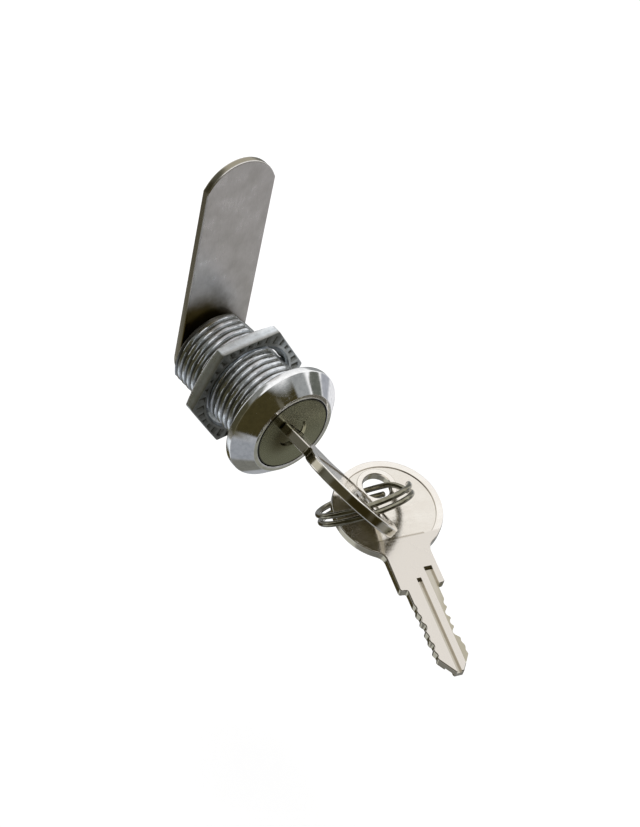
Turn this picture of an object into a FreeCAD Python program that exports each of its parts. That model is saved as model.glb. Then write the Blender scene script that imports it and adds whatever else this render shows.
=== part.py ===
import FreeCAD, Part
import math
import os

# Mailbox cam lock with its mounting nut, cam, two keys and split ring. Millimetres.
# The origin is on the lock's axis, in the plane where the head seats on the panel.
# The axis is Y: the face looks to -Y and the barrel runs to +Y. The cam stands up along +Z.

V = FreeCAD.Vector
along = V(0, 1, 0)

# Fits
run_gap = 0.05
slide_gap = 0.1
play = 0.1

# Directions
key_turn = -45.0
nut_turn = 6.4
cam_swing = 90.0

# Housing: bevelled head, threaded barrel with two flats
head_d = 24.0
head_band = 1.5
head_h = 4.5
head_front_d = 17.6
head_edge_r = 0.35
barrel_d = 18.0
barrel_flats = 16.0
barrel_l = 22.0
barrel_end_chamfer = 0.9
relief_depth = 0.7
relief_l = 0.9
thread_pitch = 1.5
thread_depth = 0.6
thread_crest = 0.5

# Plug
face_d = 15.6
face_t = 2.2
face_bevel = 0.2
dish_d = 5.6
dish_depth = 0.5
plug_d = 12.3
tail_side = 7.0
tail_corner_d = 8.8
tail_short = 0.2
stud_d = 5.0
stud_l = 3.9
stud_chamfer = 0.5

# Wafers and their springs
wafer_count = 6
wafer_first = 3.9
wafer_pitch = 2.0
wafer_t = 0.8
wafer_w = 7.0
wafer_rise = 0.7
ear_w = 1.2
ear_h = 1.4
ear_low = -0.5
spring_od = 1.0
spring_wire = 0.2
spring_l = 3.2
groove_wall_gap = 0.25

# Parts on the tail
stop_t = 1.4
stop_tab_reach = 7.1
stop_tab_w = 3.0
cam_w = 15.0
cam_l = 43.0
cam_tip_r = 8.0
cam_t = 1.6
lock_washer_od = 10.6
lock_washer_t = 0.8
lock_washer_split = 0.9
cam_nut_af = 8.0
cam_nut_h = 2.5
cam_nut_turn = 30.0
cam_nut_corner_drop = 0.4

# Mounting nut, with radial teeth on the face towards the head
nut_af = 22.0
nut_t = 2.7
nut_from_seat = 9.8
nut_corner_drop = 0.55
nut_bore_bevel = 0.45
tooth_count = 32
tooth_turn = 8.25
tooth_depth = 0.45
tooth_w = 1.4
tooth_from_bore = 0.95
tooth_past_flats = 0.2

# Key
key_t = 1.9
blade_w = 6.2
blade_l = 18.0
tip_l = 3.4
tip_w = 1.4
shank_w = 8.9
bow_d = 21.1
bow_to_shoulder = 17.75
neck_r = 2.2
shoulder_r = 0.5
hole_d = 5.4
hole_from_centre = 4.95
hole_off_middle = 0.3
panel_depth = 0.2
panel_border = 1.4
hole_border = 1.1
panel_to_shank = 6.8
face_groove_depth = 0.65
cut_flat = 0.7
high_cuts = (0.4, 0.9, 0.8, 1.1, 0.3, 0.2)
low_cuts = (0.2, 0.3, 0.5, 0.2, 0.4, 0.3)

# Milled grooves along the key: start before the shoulder, low edge and high edge across the blade.
# The side groove reaches past the blade's high edge, so it leaves a step along that edge.
side_groove = (3.9, 1.6, 3.2)
narrow_groove = (1.9, -0.6, 0.3)
back_groove = (3.0, -2.0, -0.9)

# Split ring: two flat turns of round wire joined by a short step
ring_d = 17.5
ring_wire = 1.1
ring_pitch = 1.55
ring_step_angle = 40.0
ring_end_angle = 8.0
ring_seam = 103.0
ring_slack = 0.717

# The ring hangs in the locked key's hole: the way to that hole from its middle, and its axis
ring_to_hole = V(-0.5374, -0.6249, 0.5663)
ring_axis = V(-0.0394, 0.6894, 0.7233)

# The spare key rides on the ring: how far round, how slack and how low its hole sits there
spare_round = 158.04
spare_slack = -0.52
spare_sink = -0.697
spare_face = V(-0.1215, -0.1616, 0.9794)
spare_blade = V(-0.2462, -0.9509, -0.1874)

# Worked out from the sizes above
head_r = head_d / 2
barrel_r = barrel_d / 2
plug_r = plug_d / 2
bore_r = plug_r + run_gap
face_bore_r = face_d / 2 + play
face_y = -head_h
face_back_y = face_y + face_t
cam_y = barrel_l + play
plug_end_y = cam_y - stop_t
cam_back_y = cam_y + cam_t
lock_washer_back_y = cam_back_y + lock_washer_t
shoulder_y = face_y - play
blade_half = blade_w / 2
key_travel = blade_l + play + 0.4
groove_r = plug_r + wafer_rise + groove_wall_gap
far = 3 * head_d


def disc(radius, y0, y1):
    return Part.makeCylinder(radius, y1 - y0, V(0, y0, 0), along)


def slab(x0, x1, y0, y1, z0, z1):
    return Part.makeBox(x1 - x0, y1 - y0, z1 - z0, V(x0, y0, z0))


def polygon(points):
    return Part.Face(Part.makePolygon(points + [points[0]]))


def lathe(profile):
    """Turn a closed outline of (radius, y) points about the lock's axis."""
    face = polygon([V(radius, y, 0) for radius, y in profile])
    return face.revolve(V(0, 0, 0), along, 360)


def to_key_frame(shape):
    """Turn a shape made with the keyway upright to where the keyway stands."""
    shape.rotate(V(0, 0, 0), along, key_turn)
    return shape


def square_post(side, corner_d, y0, y1):
    half = side / 2
    return slab(-half, half, y0, y1, -half, half).common(disc(corner_d / 2, y0, y1))


def hexagon(across_flats, y0, y1, turn):
    corner_r = across_flats / math.sqrt(3)
    angles = [math.radians(turn + 60 * i) for i in range(6)]
    face = polygon([V(corner_r * math.cos(a), y0, corner_r * math.sin(a)) for a in angles])
    return face.extrude(along * (y1 - y0))


def circle_edges(shape, radius, y):
    found = []
    for edge in shape.Edges:
        curve = edge.Curve
        if isinstance(curve, Part.Circle) and abs(curve.Radius - radius) < 1e-4:
            if abs(curve.Center.y - y) < 1e-4:
                found.append(edge)
    return found


def wafer_y(i):
    return shoulder_y + wafer_first + i * wafer_pitch


def thread_outline(y0, y1):
    """Outline points of the thread, drawn as one ring groove for each turn."""
    half = (thread_pitch - thread_crest) / 2
    points = []
    for i in range(int((y1 - y0) / thread_pitch)):
        middle = y0 + (i + 0.5) * thread_pitch
        points.append((barrel_r, middle - half))
        points.append((barrel_r - thread_depth, middle))
        points.append((barrel_r, middle + half))
    return points


def make_housing():
    relief_r = barrel_r - relief_depth
    barrel_start = relief_l + relief_depth / 2
    barrel_end = barrel_l - barrel_end_chamfer
    body = lathe([
        (face_bore_r, face_y),
        (head_front_d / 2, face_y),
        (head_r, -head_band),
        (head_r, 0),
        (relief_r, 0),
        (relief_r, relief_l - relief_depth / 2),
        (barrel_r, barrel_start),
        *thread_outline(barrel_start, barrel_end),
        (barrel_r, barrel_end),
        (barrel_r - barrel_end_chamfer, barrel_l),
        (bore_r, barrel_l),
        (bore_r, face_back_y + play),
        (face_bore_r, face_back_y + play),
    ])
    rim = circle_edges(body, head_r, -head_band) + circle_edges(body, head_r, 0)
    body = body.makeFillet(head_edge_r, rim)
    keyed = []
    for side in (-1, 1):
        flat = slab(barrel_flats / 2, far, 0, barrel_l + 1, -far, far)
        flat.rotate(V(0, 0, 0), along, 90 - 90 * side)
        keyed.append(flat)
    groove_half = wafer_w / 2 + slide_gap
    groove_y = wafer_y(0) - wafer_t / 2 - slide_gap
    for turn in (0, 180, cam_swing, cam_swing + 180):
        groove = slab(-groove_half, groove_half, groove_y, barrel_l + 1, 0, groove_r)
        groove = groove.common(disc(groove_r, groove_y, barrel_l + 1))
        groove.rotate(V(0, 0, 0), along, turn)
        keyed.append(groove)
    body = body.cut([to_key_frame(tool) for tool in keyed])
    return body.cut(stop_recess())


def stop_recess():
    """The quarter recess in the barrel's end, where the stop washer's tab swings."""
    floor_y = plug_end_y - play
    reach = stop_tab_reach + play
    half = stop_tab_w / 2 + run_gap
    end_y = barrel_l + 1
    start = polygon([V(0, floor_y, 0), V(0, end_y, 0), V(0, end_y, -reach), V(0, floor_y, -reach)])
    sweep = start.revolve(V(0, 0, 0), along, cam_swing)
    tabs = []
    for angle in (0, cam_swing):
        tab = slab(-half, half, floor_y, end_y, -reach, 0).common(disc(reach, floor_y, end_y))
        tab.rotate(V(0, 0, 0), along, angle)
        tabs.append(tab)
    return sweep.multiFuse(tabs)


def blade_section(gap):
    """The blade's section across the key, grown by a gap on all sides."""
    half_t = key_t / 2 + gap
    half_w = blade_half + gap
    floor = key_t / 2 - face_groove_depth + gap
    low, high = narrow_groove[1] + gap, narrow_groove[2] - gap
    step = side_groove[1] + gap
    points = [(-half_t, -half_w), (half_t, -half_w)]
    points += [(half_t, low), (floor, low), (floor, high), (half_t, high)]
    points += [(half_t, step), (floor, step), (floor, half_w), (-half_t, half_w)]
    low, high = back_groove[1] + gap, back_groove[2] - gap
    points += [(-half_t, high), (-floor, high), (-floor, low), (-half_t, low)]
    return points


def make_plug():
    face_r = face_d / 2
    dish_y = face_y + dish_depth
    body = lathe([
        (0, dish_y),
        (dish_d / 2, dish_y),
        (dish_d / 2 + dish_depth / 2, face_y),
        (face_r - face_bevel, face_y),
        (face_r, face_y + face_bevel),
        (face_r, face_back_y),
        (plug_r, face_back_y),
        (plug_r, plug_end_y),
        (0, plug_end_y),
    ])
    tail_end_y = cam_back_y - tail_short
    stud_end_y = cam_back_y + stud_l
    tail = square_post(tail_side, tail_corner_d, plug_end_y, tail_end_y)
    stud = lathe([
        (0, tail_end_y),
        (stud_d / 2, tail_end_y),
        (stud_d / 2, stud_end_y - stud_chamfer),
        (stud_d / 2 - stud_chamfer, stud_end_y),
        (0, stud_end_y),
    ])
    keyway = polygon([V(x, face_y - 1, z) for x, z in blade_section(slide_gap)])
    cuts = [to_key_frame(keyway.extrude(along * (1 + blade_l + play)))]
    for i in range(wafer_count):
        cuts += wafer_seat(i)
    return body.fuse([tail, stud]).removeSplitter().cut(cuts)


def turned_wafer(shape, i):
    """Every second wafer is turned round, to slide out at the other side."""
    shape.rotate(V(0, 0, 0), along, 180 * (i % 2))
    return to_key_frame(shape)


def wafer_seat(i):
    """The slot for a wafer, the wider slot for its ear, and the pocket for its spring."""
    front_y = wafer_y(i) - wafer_t / 2 - run_gap
    back_y = wafer_y(i) + wafer_t / 2 + run_gap
    half = wafer_w / 2 + run_gap
    ear_end = wafer_w / 2 + ear_w + slide_gap
    slot = slab(-half, half, front_y, back_y, -far, far)
    ear_slot = slab(0, ear_end, front_y, back_y, ear_low - slide_gap, far)
    pocket_r = spring_od / 2 + run_gap
    pocket_l = spring_l + 2 * run_gap + slide_gap
    floor = V(spring_x(), wafer_y(i), ear_low - spring_l - 2 * run_gap)
    pocket = Part.makeCylinder(pocket_r, pocket_l, floor, V(0, 0, 1))
    return [turned_wafer(shape, i) for shape in (slot, ear_slot, pocket)]


def spring_x():
    return wafer_w / 2 + slide_gap + spring_od / 2


def make_wafer(i):
    front_y = wafer_y(i) - wafer_t / 2
    back_y = wafer_y(i) + wafer_t / 2
    half = wafer_w / 2
    body = slab(-half, half, front_y, back_y, -far, far)
    ear = slab(0, half + ear_w, front_y, back_y, ear_low, ear_low + ear_h)
    body = body.common(disc(plug_r - run_gap, front_y, back_y)).fuse(ear).removeSplitter()
    side = key_t / 2 + slide_gap + run_gap
    top = blade_half + slide_gap + run_gap
    window = slab(-side, side, front_y - 1, back_y + 1, -top - wafer_rise, top)
    return turned_wafer(body.cut(window), i)


def make_wafer_spring(i):
    foot = V(spring_x(), wafer_y(i), ear_low - spring_l - run_gap)
    outer = Part.makeCylinder(spring_od / 2, spring_l, foot, V(0, 0, 1))
    inner = Part.makeCylinder(spring_od / 2 - spring_wire, spring_l, foot, V(0, 0, 1))
    return turned_wafer(outer.cut(inner), i)


def make_stop_washer():
    half = stop_tab_w / 2
    tab = slab(-half, half, plug_end_y, cam_y, -stop_tab_reach, 0)
    tab = tab.common(disc(stop_tab_reach, plug_end_y, cam_y))
    body = disc(plug_r - run_gap, plug_end_y, cam_y).fuse(tab).removeSplitter()
    return body.cut(tail_hole(plug_end_y, cam_y))


def tail_hole(y0, y1):
    return square_post(tail_side + 2 * run_gap, tail_corner_d + 2 * run_gap, y0, y1)


def make_cam():
    half = cam_w / 2
    tip_rise = cam_tip_r - math.sqrt(cam_tip_r ** 2 - half ** 2)
    corner_z = cam_l - tip_rise
    outline = Part.Wire([
        Part.LineSegment(V(half, cam_y, 0), V(half, cam_y, corner_z)).toShape(),
        Part.Arc(V(half, cam_y, corner_z), V(0, cam_y, cam_l), V(-half, cam_y, corner_z)).toShape(),
        Part.LineSegment(V(-half, cam_y, corner_z), V(-half, cam_y, 0)).toShape(),
        Part.Arc(V(-half, cam_y, 0), V(0, cam_y, -half), V(half, cam_y, 0)).toShape(),
    ])
    body = Part.Face(outline).extrude(along * cam_t)
    return body.cut(tail_hole(cam_y, cam_back_y))


def make_lock_washer():
    body = disc(lock_washer_od / 2, cam_back_y, lock_washer_back_y)
    body = body.cut(disc(stud_d / 2 + run_gap, cam_back_y, lock_washer_back_y))
    split = slab(0, far, cam_back_y - 1, lock_washer_back_y + 1, -lock_washer_split / 2, lock_washer_split / 2)
    return body.cut(split)


def make_cam_nut():
    end_y = lock_washer_back_y + cam_nut_h
    body = hexagon(cam_nut_af, lock_washer_back_y, end_y, cam_nut_turn)
    crown = chamfered_crown(cam_nut_af, lock_washer_back_y, end_y, cam_nut_corner_drop)
    return body.common(crown).cut(disc(stud_d / 2 + run_gap, lock_washer_back_y, end_y))


def chamfered_crown(across_flats, y0, y1, drop):
    """A turned blank whose far face is bevelled from the flats out to the corners."""
    corner_r = across_flats / math.sqrt(3)
    flat_r = across_flats / 2
    return lathe([(0, y0), (corner_r + 1, y0), (corner_r, y1 - drop), (flat_r, y1), (0, y1)])


def make_mounting_nut():
    y0 = nut_from_seat
    y1 = y0 + nut_t
    body = hexagon(nut_af, y0, y1, nut_turn)
    body = body.common(chamfered_crown(nut_af, y0, y1, nut_corner_drop))
    bore = barrel_r + run_gap
    body = body.cut(lathe([
        (0, y0 - 1),
        (bore + nut_bore_bevel, y0 - 1),
        (bore + nut_bore_bevel, y0),
        (bore, y0 + nut_bore_bevel),
        (bore, y1 - nut_bore_bevel),
        (bore + nut_bore_bevel, y1),
        (bore + nut_bore_bevel, y1 + 1),
        (0, y1 + 1),
    ]))
    start_r = bore + tooth_from_bore
    groove = polygon([
        V(start_r, y0, tooth_w / 2),
        V(start_r, y0 + tooth_depth, 0),
        V(start_r, y0, -tooth_w / 2),
    ]).extrude(V(nut_af / 2 + tooth_past_flats - start_r, 0, 0))
    grooves = []
    for i in range(tooth_count):
        copy = groove.copy()
        copy.rotate(V(0, 0, 0), along, i * 360 / tooth_count - tooth_turn)
        grooves.append(copy)
    return body.cut(grooves)


def key_outline():
    """The key's blank, flat, with its shoulder at y = 0 and its blade along +Y."""
    bow_y = -bow_to_shoulder
    half = shank_w / 2
    neck_y = bow_y + math.sqrt((bow_d / 2 + neck_r) ** 2 - (half + neck_r) ** 2)
    share = (bow_d / 2) / (bow_d / 2 + neck_r)
    touch_y = bow_y + share * (neck_y - bow_y)
    touch_z = share * (half + neck_r)
    lean = math.atan2(touch_z, touch_y - bow_y)
    bend = (math.pi / 2 - lean) / 2
    mid_y = neck_y - neck_r * math.sin(bend)
    mid_z = half + neck_r - neck_r * math.cos(bend)

    def at(y, z):
        return V(-key_t / 2, y, z)

    edges = [
        Part.LineSegment(at(0, -half), at(0, half)).toShape(),
        Part.LineSegment(at(0, half), at(neck_y, half)).toShape(),
        Part.Arc(at(neck_y, half), at(mid_y, mid_z), at(touch_y, touch_z)).toShape(),
        Part.Arc(at(touch_y, touch_z), at(bow_y - bow_d / 2, 0), at(touch_y, -touch_z)).toShape(),
        Part.Arc(at(touch_y, -touch_z), at(mid_y, -mid_z), at(neck_y, -half)).toShape(),
        Part.LineSegment(at(neck_y, -half), at(0, -half)).toShape(),
    ]
    return Part.Face(Part.Wire(edges))


def edge_cut(i, depths, on_low_edge):
    """One cut in the blade's edge, with a flat floor and sloping flanks."""
    depth = depths[i % len(depths)]
    middle = wafer_first + i * wafer_pitch
    low = cut_flat / 2
    high = low + depth + 1
    half_t = key_t
    points = [(middle - low, -depth), (middle + low, -depth), (middle + high, 1), (middle - high, 1)]
    face = polygon([V(-half_t, y, blade_half + z) for y, z in points])
    tool = face.extrude(V(2 * half_t, 0, 0))
    if on_low_edge:
        tool = tool.mirror(V(0, 0, 0), V(0, 0, 1))
    return tool


def hole_in_key():
    """Where the middle of the bow's hole is on a key made with its shoulder at y = 0."""
    return V(0, -bow_to_shoulder - hole_from_centre, -hole_off_middle)


def face_panel(side):
    """The shallow panel sunk in one face of the bow, inside its raised border."""
    bow = V(0, -bow_to_shoulder, 0)
    hole = hole_in_key()
    depth_dir = V(side, 0, 0)
    start = V(side * (key_t / 2 - panel_depth), 0, 0)
    panel = Part.makeCylinder(bow_d / 2 - panel_border, 1, start + bow, depth_dir)
    island = Part.makeCylinder(hole_d / 2 + hole_border, 1, start + hole, depth_dir)
    limit_y = -bow_to_shoulder + panel_to_shank
    shank = slab(-far, far, limit_y, far, -far, far)
    return panel.cut([island, shank])


def make_key():
    blank = key_outline().extrude(V(key_t, 0, 0))
    half_t = key_t / 2
    shaft = slab(-half_t, half_t, -1, blade_l - tip_l, -blade_half, blade_half)
    tip = polygon([
        V(-half_t, blade_l - tip_l, -blade_half),
        V(-half_t, blade_l - tip_l, blade_half),
        V(-half_t, blade_l, tip_w / 2),
        V(-half_t, blade_l, -tip_w / 2),
    ]).extrude(V(key_t, 0, 0))
    body = blank.fuse([shaft, tip]).removeSplitter()
    corners = []
    for edge in body.Edges:
        mid = edge.CenterOfMass
        outside = abs(abs(mid.z) - shank_w / 2) < 1e-4
        if outside and abs(mid.y) < 1e-4 and edge.Length > key_t / 2:
            corners.append(edge)
    body = body.makeFillet(shoulder_r, corners)
    cuts = [edge_cut(i, high_cuts, False) for i in range(wafer_count)]
    cuts += [edge_cut(i, low_cuts, True) for i in range(wafer_count)]
    depth = face_groove_depth
    for start, low, high in (side_groove, narrow_groove):
        cuts.append(slab(half_t - depth, half_t + 1, -start, far, low, high))
    start, low, high = back_groove
    cuts.append(slab(-half_t - 1, depth - half_t, -start, far, low, high))
    cuts.append(Part.makeCylinder(hole_d / 2, 2 * key_t, hole_in_key() - V(key_t, 0, 0), V(1, 0, 0)))
    cuts += [face_panel(-1), face_panel(1)]
    return body.cut(cuts)


def make_key_in_lock():
    key = make_key()
    key.translate(V(0, shoulder_y, 0))
    return to_key_frame(key)


def locked_hole():
    """The middle of the hole of the key that stands in the lock."""
    point = Part.Vertex(hole_in_key() + V(0, shoulder_y, 0))
    return to_key_frame(point).Point


def axes_placement(x_dir, y_dir, origin):
    """A placement whose X and Y axes point along the given directions."""
    x_dir = V(x_dir).normalize()
    y_dir = V(y_dir) - x_dir * x_dir.dot(y_dir)
    y_dir.normalize()
    z_dir = x_dir.cross(y_dir)
    matrix = FreeCAD.Matrix(
        x_dir.x, y_dir.x, z_dir.x, origin.x,
        x_dir.y, y_dir.y, z_dir.y, origin.y,
        x_dir.z, y_dir.z, z_dir.z, origin.z,
        0, 0, 0, 1,
    )
    return FreeCAD.Placement(matrix)


def ring_placement():
    """The ring's own axes: X from its middle to the locked key's hole, Z along its axis."""
    middle = locked_hole() - V(ring_to_hole).normalize() * (ring_d / 2 + ring_slack)
    return axes_placement(ring_to_hole, ring_axis.cross(ring_to_hole), middle)


def make_spare_key():
    key = make_key()
    key.translate(hole_in_key() * -1)
    angle = math.radians(spare_round)
    reach = ring_d / 2 + spare_slack
    on_ring = V(reach * math.cos(angle), reach * math.sin(angle), -spare_sink)
    hole = ring_placement().multVec(on_ring)
    key.Placement = axes_placement(spare_face, spare_blade, hole).multiply(key.Placement)
    return key


def arc_from(start, tangent, end):
    """The arc that leaves the start along the tangent and reaches the end, with its end tangent."""
    chord = end - start
    length = chord.Length
    chord.normalize()
    side = tangent - chord * tangent.dot(chord)
    bend = tangent.getAngle(chord)
    side.normalize()
    middle = (start + end) * 0.5 + side * (length / 2 * math.tan(bend / 2))
    return Part.Arc(start, middle, end)


def ring_path():
    """The middle of the ring's wire: a lower turn, a step up, an upper turn."""
    radius = ring_d / 2
    turn = 360 - ring_step_angle - ring_end_angle

    def point(angle, level):
        a = math.radians(angle)
        return V(radius * math.cos(a), radius * math.sin(a), level * ring_pitch / 2)

    def heading(angle):
        a = math.radians(angle)
        return V(-math.sin(a), math.cos(a), 0)

    def flat_turn(first, level):
        angles = [first + turn * share / 4 for share in range(5)]
        stops = [point(angle, level) for angle in angles]
        return [Part.Arc(*stops[0:3]), Part.Arc(*stops[2:5])]

    start, end = point(0, -1), point(ring_step_angle, 1)
    leaving, arriving = heading(0), heading(ring_step_angle)
    span = end - start
    both = leaving + arriving
    spread = 2 * (1 - leaving.dot(arriving))
    root = math.sqrt(span.dot(both) ** 2 + spread * span.dot(span))
    reach = (root - span.dot(both)) / spread
    joint = (start + end + (leaving - arriving) * reach) * 0.5
    step = [arc_from(start, leaving, joint), arc_from(end, arriving * -1, joint)]
    arcs = flat_turn(-turn, -1) + step + flat_turn(ring_step_angle, 1)
    return Part.Wire(Part.__sortEdges__([arc.toShape() for arc in arcs])), point(-turn, -1), heading(-turn)


def ring_gap(path):
    """The least gap between the wire and itself, measured on points along its path."""
    spacing = ring_wire / 6
    points = path.discretize(Distance=spacing)
    apart = int(math.pi * ring_wire / spacing)
    least = far
    for i, a in enumerate(points):
        for b in points[i + apart:]:
            least = min(least, a.distanceToPoint(b))
    return least - ring_wire


def make_split_ring():
    path, start, heading = ring_path()
    section = Part.Wire(Part.Circle(start, heading, ring_wire / 2).toShape())
    body = path.makePipeShell([section], True, False)
    expected = path.Length * math.pi * (ring_wire / 2) ** 2
    print("split ring: least gap to itself", round(ring_gap(path), 3), "mm")
    print("split ring: volume", round(body.Volume, 2), "against", round(expected, 2), "mm3")
    body.rotate(V(0, 0, 0), V(0, 0, 1), ring_seam)
    body.Placement = ring_placement().multiply(body.Placement)
    return body


def main():
    os.makedirs("parts", exist_ok=True)
    nodes = {
        "housing": make_housing(),
        "plug": make_plug(),
        "stop_washer": make_stop_washer(),
        "cam": make_cam(),
        "lock_washer": make_lock_washer(),
        "cam_nut": make_cam_nut(),
        "mounting_nut": make_mounting_nut(),
        "key_in_lock": make_key_in_lock(),
        "split_ring": make_split_ring(),
        "spare_key": make_spare_key(),
    }
    for i in range(wafer_count):
        nodes["wafer_%d" % (i + 1)] = make_wafer(i)
        nodes["wafer_spring_%d" % (i + 1)] = make_wafer_spring(i)
    for name, shape in nodes.items():
        if not shape.isValid() or len(shape.Solids) != 1:
            print(name, "is not one sound solid:", len(shape.Solids))
        shape.exportStep("parts/" + name + ".step")
    print(len(nodes), "nodes, key travel", key_travel, "mm")


main()
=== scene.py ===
import math

import bmesh
import bpy
import numpy as np
from mathutils import Matrix, Vector


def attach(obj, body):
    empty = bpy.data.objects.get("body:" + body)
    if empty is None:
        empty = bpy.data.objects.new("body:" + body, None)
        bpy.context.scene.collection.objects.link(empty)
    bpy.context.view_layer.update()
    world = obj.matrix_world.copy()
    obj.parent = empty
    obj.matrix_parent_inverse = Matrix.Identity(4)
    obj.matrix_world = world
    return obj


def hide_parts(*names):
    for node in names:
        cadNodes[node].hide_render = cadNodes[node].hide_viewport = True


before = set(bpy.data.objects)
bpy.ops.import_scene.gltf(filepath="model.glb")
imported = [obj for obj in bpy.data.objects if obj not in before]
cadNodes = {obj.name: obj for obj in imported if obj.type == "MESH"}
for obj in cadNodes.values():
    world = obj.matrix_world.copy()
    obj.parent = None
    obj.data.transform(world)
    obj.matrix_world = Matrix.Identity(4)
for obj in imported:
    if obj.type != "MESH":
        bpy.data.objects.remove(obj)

# Mailbox cam lock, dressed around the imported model. Sizes below are in millimetres.
mm = 0.001
fullTurn = 2 * math.pi
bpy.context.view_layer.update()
scene = bpy.context.scene


def addObject(name, data):
    thing = bpy.data.objects.new(name, data)
    scene.collection.objects.link(thing)
    return thing


# A place and three directions as one matrix.
def frameAt(place, *axes):
    return Matrix.Translation(Vector(place) * mm) @ Matrix(axes).transposed().to_4x4()


cameraFacts = {
    "place": (-192.56, -194.70, 230.78), "lens": 84.15, "sensor": 36,
    "right": (0.782137, -0.595466, 0.183528),
    "up": (0.282630, 0.601521, 0.747190),
    "back": (-0.555322, -0.532535, 0.638768),
}


def addCamera(facts):
    data = bpy.data.cameras.new("photoCamera")
    data.lens, data.sensor_width = facts["lens"], facts["sensor"]
    data.clip_start, data.clip_end = 0.01, 30
    camera = addObject("photoCamera", data)
    camera.matrix_world = frameAt(facts["place"], facts["right"], facts["up"], facts["back"])
    scene.camera = camera


addCamera(cameraFacts)
print("camera: set")


# A value in a node tree, of a shader or of Geometry Nodes. Signs between values make Math nodes.
class Value:
    def __init__(self, tree, socket):
        self.tree, self.socket = tree, socket

    def __add__(self, other):
        return calc("ADD", self, other)

    def __sub__(self, other):
        return calc("SUBTRACT", self, other)

    def __rsub__(self, other):
        return calc("SUBTRACT", other, self)

    def __mul__(self, other):
        return calc("MULTIPLY", self, other)

    def __truediv__(self, other):
        return calc("DIVIDE", self, other)

    def __rtruediv__(self, other):
        return calc("DIVIDE", other, self)

    def __neg__(self):
        return calc("MULTIPLY", self, -1.0)

    def __abs__(self):
        return calc("ABSOLUTE", self)

    def __lt__(self, other):
        return calc("LESS_THAN", self, other)

    def __gt__(self, other):
        return calc("GREATER_THAN", self, other)


def feed(socket, value):
    if isinstance(value, Value):
        value.tree.links.new(value.socket, socket)
    elif socket.type == "RGBA":
        socket.default_value = (*value, 1)
    else:
        socket.default_value = value


# A node with its settings and inputs. One of its outputs comes back.
def addNode(tree, kind, inputs=None, output=0, **settings):
    node = tree.nodes.new(kind)
    for label, value in settings.items():
        setattr(node, label, value)
    for label, value in (inputs or {}).items():
        feed(node.inputs[label], value)
    return Value(tree, node.outputs[output])


def calc(operation, *values):
    tree = next(value.tree for value in values if isinstance(value, Value))
    return addNode(tree, "ShaderNodeMath", dict(enumerate(values)), operation=operation)


def largest(first, *others):
    for other in others:
        first = calc("MAXIMUM", first, other)
    return first


def smallest(first, *others):
    for other in others:
        first = calc("MINIMUM", first, other)
    return first


def wrapped(value, half):
    return calc("WRAP", value, half, -half)


def distance(first, second):
    return calc("SQRT", first * first + second * second)


def spread(value, low, high, toLow=0.0, toHigh=1.0, smooth=False):
    inputs = {"Value": value, "From Min": low, "From Max": high, "To Min": toLow, "To Max": toHigh}
    return addNode(value.tree, "ShaderNodeMapRange", inputs, "Result",
                   interpolation_type="SMOOTHSTEP" if smooth else "LINEAR")


def noise(vector, scale, detail, rough=0.55):
    inputs = {"Vector": vector, "Scale": scale, "Detail": detail, "Roughness": rough}
    return addNode(vector.tree, "ShaderNodeTexNoise", inputs, "Fac")


def blendColour(share, first, second):
    return addNode(share.tree, "ShaderNodeMix", {0: share, 6: first, 7: second}, 2, data_type="RGBA")


def splitVector(vector):
    first = addNode(vector.tree, "ShaderNodeSeparateXYZ", {0: vector})
    return [Value(vector.tree, socket) for socket in first.socket.node.outputs]


def joinVector(x, y, z):
    return addNode(x.tree, "ShaderNodeCombineXYZ", {0: x, 1: y, 2: z})


def outputsOf(tree, node):
    return lambda label: Value(tree, node.outputs[label])


# A node group. An input is given as its kind, or as a value whose kind it takes.
def newGroup(name, inputs, outputs, treeKind="ShaderNodeTree"):
    group = bpy.data.node_groups.new(name, treeKind)
    for label, value in inputs.items():
        kind = value if isinstance(value, str) else {float: "Float", int: "Int", tuple: "Vector"}[type(value)]
        socket = group.interface.new_socket(label, in_out="INPUT", socket_type="NodeSocket" + kind)
        if kind != value:
            socket.default_value = value
    for label, kind in outputs.items():
        group.interface.new_socket(label, in_out="OUTPUT", socket_type="NodeSocket" + kind)
    given = outputsOf(group, group.nodes.new("NodeGroupInput"))
    return group, given, group.nodes.new("NodeGroupOutput").inputs


# A value stored on the mesh under a name.
def readMark(tree, name):
    if tree.bl_idname == "GeometryNodeTree":
        return addNode(tree, "GeometryNodeInputNamedAttribute", {"Name": name}, data_type="FLOAT")
    return addNode(tree, "ShaderNodeAttribute", {}, "Fac", attribute_name=name)


def readPlace(tree, attribute=None):
    if attribute:
        return addNode(tree, "ShaderNodeAttribute", {}, "Vector", attribute_name=attribute)
    return addNode(tree, "ShaderNodeTexCoord", {}, "Object")


# Fine grain of plated or tumbled metal: small bumps with broader cloudy changes under them.
def makeMetalGrain():
    group, given, result = newGroup(
        "metalGrain", {"Vector": "Vector", "Grain mm": 0.3, "Stretch": (1.0, 1.0, 1.0)},
        {"Mask": "Float", "Height": "Float"})
    pulled = addNode(group, "ShaderNodeVectorMath", {0: given("Vector"), 1: given("Stretch")}, "Vector",
                     operation="MULTIPLY")
    scale = 1 / mm / given("Grain mm")
    both = noise(pulled, scale, 3, 0.6) * 0.65 + noise(pulled, scale * 0.22, 2, 0.5) * 0.35
    feed(result["Mask"], spread(both, 0.33, 0.67))
    feed(result["Height"], both)
    return group


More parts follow.
